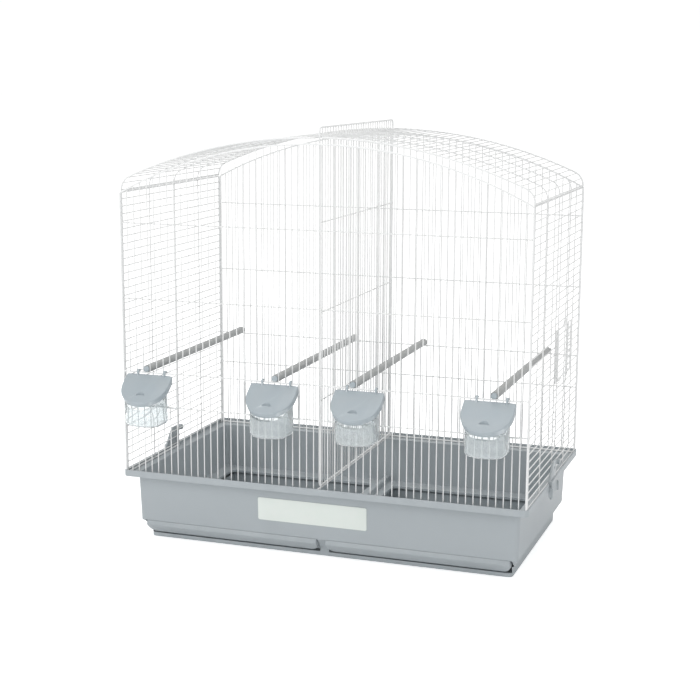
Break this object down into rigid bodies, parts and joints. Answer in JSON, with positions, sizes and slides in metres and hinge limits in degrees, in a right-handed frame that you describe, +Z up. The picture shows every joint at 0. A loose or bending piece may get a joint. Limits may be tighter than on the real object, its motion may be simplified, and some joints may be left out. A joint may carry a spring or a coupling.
{
  "type": "bird cage",
  "caption": "White wire bird cage with an arched roof on a grey plastic tray with pull-out drawers, outside feeders, perches and a lift-out divider.",
  "frame": {"origin": "middle of the tray's underside, on the floor", "axes": "+Z up, +X to the cage's right as seen from the front, +Y from the feeder side to the back"},
  "size_m": [0.6802, 0.4345, 0.6755],
  "materials": {
    "tray_plastic": "moulded grey, satin",
    "latch_plastic": "moulded grey, satin",
    "label_plastic": "bare white plate",
    "coated_wire": "white powder coat",
    "hood_plastic": "moulded cool grey, slight gloss",
    "clear_plastic": "clear moulded, glossy",
    "perch_plastic": "moulded darker grey"
  },
  "bodies": {
    "tray": {"tray_housing": "tray_plastic", "label_plate": "label_plastic"},
    "wire_body": {"front_grille": "coated_wire", "back_grille": "coated_wire", "side_grille_left": "coated_wire", "side_grille_right": "coated_wire", "roof_grille_left": "coated_wire", "roof_grille_right": "coated_wire", "divider_rest_wire": "coated_wire", "perch_1": "perch_plastic", "perch_2": "perch_plastic", "perch_3": "perch_plastic", "perch_4": "perch_plastic"},
    "divider": {"divider_grille": "coated_wire"},
    "drawer_left": {"drawer_left": "tray_plastic"},
    "latch_left": {"latch_left": "latch_plastic"},
    "drawer_right": {"drawer_right": "tray_plastic"},
    "latch_right": {"latch_right": "latch_plastic"},
    "side_door_right": {"side_door_right": "coated_wire"},
    "feeder_cup_1": {"feeder_cup_1": "clear_plastic"},
    "feeder_hood_1": {"feeder_hood_1": "hood_plastic"},
    "feeder_cup_2": {"feeder_cup_2": "clear_plastic"},
    "feeder_hood_2": {"feeder_hood_2": "hood_plastic"},
    "feeder_cup_3": {"feeder_cup_3": "clear_plastic"},
    "feeder_hood_3": {"feeder_hood_3": "hood_plastic"},
    "feeder_cup_4": {"feeder_cup_4": "clear_plastic"},
    "feeder_hood_4": {"feeder_hood_4": "hood_plastic"}
  },
  "joints": [
    {"name": "drawer_left_slide", "type": "slide", "parent": "tray", "child": "drawer_left", "axis": [0, -1, 0], "range_m": [0, 0.3]},
    {"name": "latch_left_turn", "type": "hinge", "parent": "tray", "child": "latch_left", "pos_m": [-0.3362, -0.0175, 0.102], "axis": [0, -1, 0], "range_deg": [0, 50]},
    {"name": "drawer_right_slide", "type": "slide", "parent": "tray", "child": "drawer_right", "axis": [0, -1, 0], "range_m": [0, 0.3]},
    {"name": "latch_right_turn", "type": "hinge", "parent": "tray", "child": "latch_right", "pos_m": [0.3362, -0.0175, 0.102], "axis": [0, 1, 0], "range_deg": [0, 50]},
    {"name": "side_door_right_hinge", "type": "hinge", "parent": "wire_body", "child": "side_door_right", "pos_m": [0.33, 0.04639, 0.27315], "axis": [0, 1, 0], "range_deg": [0, 120]},
    {"name": "wire_body_lift", "type": "slide", "parent": "tray", "child": "wire_body", "axis": [0, 0, 1], "range_m": [0, 0.15]},
    {"name": "divider_lift", "type": "slide", "parent": "wire_body", "child": "divider", "axis": [0, 0, 1], "range_m": [0, 0.55]},
    {"name": "feeder_hood_1_hinge", "type": "hinge", "parent": "wire_body", "child": "feeder_hood_1", "pos_m": [-0.28368, -0.18968, 0.283], "axis": [-1, 0, 0], "range_deg": [0, 65]},
    {"name": "feeder_cup_1_unhook", "type": "slide", "parent": "wire_body", "child": "feeder_cup_1", "axis": [0, 0, 1], "range_m": [0, 0.003]},
    {"name": "feeder_hood_2_hinge", "type": "hinge", "parent": "wire_body", "child": "feeder_hood_2", "pos_m": [-0.06947, -0.18968, 0.283], "axis": [-1, 0, 0], "range_deg": [0, 65]},
    {"name": "feeder_cup_2_unhook", "type": "slide", "parent": "wire_body", "child": "feeder_cup_2", "axis": [0, 0, 1], "range_m": [0, 0.003]},
    {"name": "feeder_hood_3_hinge", "type": "hinge", "parent": "wire_body", "child": "feeder_hood_3", "pos_m": [0.06947, -0.18968, 0.283], "axis": [-1, 0, 0], "range_deg": [0, 65]},
    {"name": "feeder_cup_3_unhook", "type": "slide", "parent": "wire_body", "child": "feeder_cup_3", "axis": [0, 0, 1], "range_m": [0, 0.003]},
    {"name": "feeder_hood_4_hinge", "type": "hinge", "parent": "wire_body", "child": "feeder_hood_4", "pos_m": [0.2721, -0.18968, 0.283], "axis": [-1, 0, 0], "range_deg": [0, 65]},
    {"name": "feeder_cup_4_unhook", "type": "slide", "parent": "wire_body", "child": "feeder_cup_4", "axis": [0, 0, 1], "range_m": [0, 0.003]}
  ]
}
